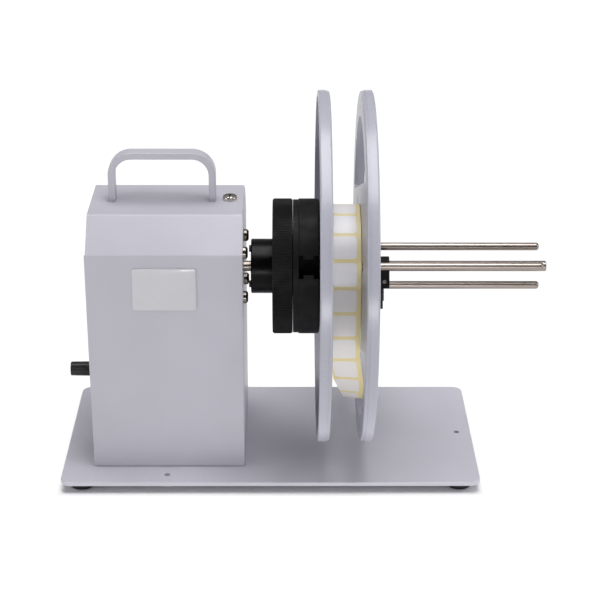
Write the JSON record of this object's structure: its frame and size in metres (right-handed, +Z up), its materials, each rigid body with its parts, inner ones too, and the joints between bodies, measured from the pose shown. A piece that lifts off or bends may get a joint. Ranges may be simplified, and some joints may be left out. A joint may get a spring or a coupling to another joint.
{
  "type": "label rewinder",
  "caption": "Bench label rewinder: sheet-metal motor housing on a base plate, spindle with a scroll chuck, finger rods, two large flanges and a part-wound label roll.",
  "frame": {"origin": "on the bench, under the middle of the whole machine's outline, which lies on the spindle's line", "axes": "+X along the spindle from the housing to the rods' free ends, +Y from the operator to the back, +Z up"},
  "size_m": [0.3722, 0.266, 0.303],
  "materials": {
    "base_paint": "smooth grey powder coat on steel plate",
    "housing_paint": "smooth light grey powder coat on sheet steel",
    "flange_paint": "light grey paint, satin",
    "rubber": "moulded black rubber",
    "zinc_steel": "bright zinc plate",
    "bright_screw": "nickel plated screw",
    "bright_steel": "ground bright bar",
    "black_screw": "black oxide steel",
    "black_anodised": "turned, glossy black anodised",
    "gearbox_alloy": "bare die-cast alloy",
    "motor_black": "black painted can",
    "black_plastic": "moulded black plastic",
    "nameplate_gloss": "clear domed resin on a white label, left blank",
    "board": "green circuit board with its parts",
    "card": "spiral wound card tube",
    "label_paper": "semi-gloss white labels on a yellow release liner"
  },
  "bodies": {
    "frame": {"base_plate": "base_paint", "foot_front_left": "rubber", "foot_front_right": "rubber", "foot_back_left": "rubber", "foot_back_right": "rubber", "foot_screws": "zinc_steel", "housing_cover": "housing_paint", "side_plate_left": "housing_paint", "side_plate_right": "housing_paint", "plate_foot_screws": "zinc_steel", "cover_rear_screws": "zinc_steel", "cover_top_screw": "bright_screw", "carry_handle": "housing_paint", "handle_screws": "zinc_steel", "nameplate": "nameplate_gloss", "gearbox": "gearbox_alloy", "drive_motor": "motor_black", "motor_screws": "bright_screw", "potentiometer": "gearbox_alloy", "potentiometer_nut": "zinc_steel", "rocker_frame": "black_plastic", "power_inlet": "black_plastic", "inlet_nut": "zinc_steel", "control_board": "board", "board_posts": "zinc_steel", "board_screws": "zinc_steel"},
    "power_rocker": {"rocker_key": "black_plastic"},
    "speed_control": {"speed_knob": "black_plastic"},
    "spindle": {"drive_shaft": "bright_steel", "chuck_hub": "black_anodised", "hub_screws": "black_screw", "hub_grip_screws": "black_screw", "chuck_body": "black_anodised", "centre_shaft": "bright_steel", "inner_flange": "flange_paint", "inner_flange_screws": "black_screw", "label_core": "card", "label_roll": "label_paper", "label_tail": "label_paper"},
    "scroll": {"scroll_ring": "black_anodised"},
    "grip_1": {"jaw_1": "black_anodised", "rod_1": "bright_steel"},
    "grip_2": {"jaw_2": "black_anodised", "rod_2": "bright_steel"},
    "grip_3": {"jaw_3": "black_anodised", "rod_3": "bright_steel"},
    "sliding_flange": {"outer_flange": "flange_paint", "clamp_hub": "black_anodised", "clamp_hub_screws": "black_screw", "clamp_pin": "bright_steel"},
    "lock_lever": {"clamp_lever": "black_plastic", "clamp_lever_strip": "bright_steel"}
  },
  "joints": [
    {"name": "power_rocker_tip", "type": "hinge", "parent": "frame", "child": "power_rocker", "pos_m": [-0.1606, 0.056, 0.0784], "axis": [0, 1, 0], "range_deg": [0, 15]},
    {"name": "speed_turn", "type": "hinge", "parent": "frame", "child": "speed_control", "pos_m": [-0.1686, 0.01, 0.0784], "axis": [1, 0, 0], "range_deg": [0, 280]},
    {"name": "spindle_turn", "type": "hinge", "parent": "frame", "child": "spindle", "pos_m": [-0.0236, 0, 0.17], "axis": [1, 0, 0], "continuous": true},
    {"name": "scroll_turn", "type": "hinge", "parent": "spindle", "child": "scroll", "pos_m": [-0.0141, 0, 0.17], "axis": [1, 0, 0], "range_deg": [0, 120]},
    {"name": "grip_1_slide", "type": "slide", "parent": "spindle", "child": "grip_1", "axis": [0, -0.9323, 0.3616], "range_m": [-0.002, 0]},
    {"name": "grip_2_slide", "type": "slide", "parent": "spindle", "child": "grip_2", "axis": [0, 0.7793, 0.6266], "range_m": [-0.002, 0]},
    {"name": "grip_3_slide", "type": "slide", "parent": "spindle", "child": "grip_3", "axis": [0, 0.153, -0.9882], "range_m": [-0.002, 0]},
    {"name": "flange_slide", "type": "slide", "parent": "spindle", "child": "sliding_flange", "axis": [1, 0, 0], "range_m": [0, 0.115]},
    {"name": "lock_lever_swing", "type": "hinge", "parent": "sliding_flange", "child": "lock_lever", "pos_m": [0.0628, -0.0062, 0.15954], "axis": [0, -0.9323, 0.3616], "range_deg": [0, 90]}
  ],
  "couplings": [
    {"joint": "grip_1_slide", "follows": "scroll_turn", "m_per_rad": -0.000954},
    {"joint": "grip_2_slide", "follows": "scroll_turn", "m_per_rad": -0.000954},
    {"joint": "grip_3_slide", "follows": "scroll_turn", "m_per_rad": -0.000954}
  ]
}
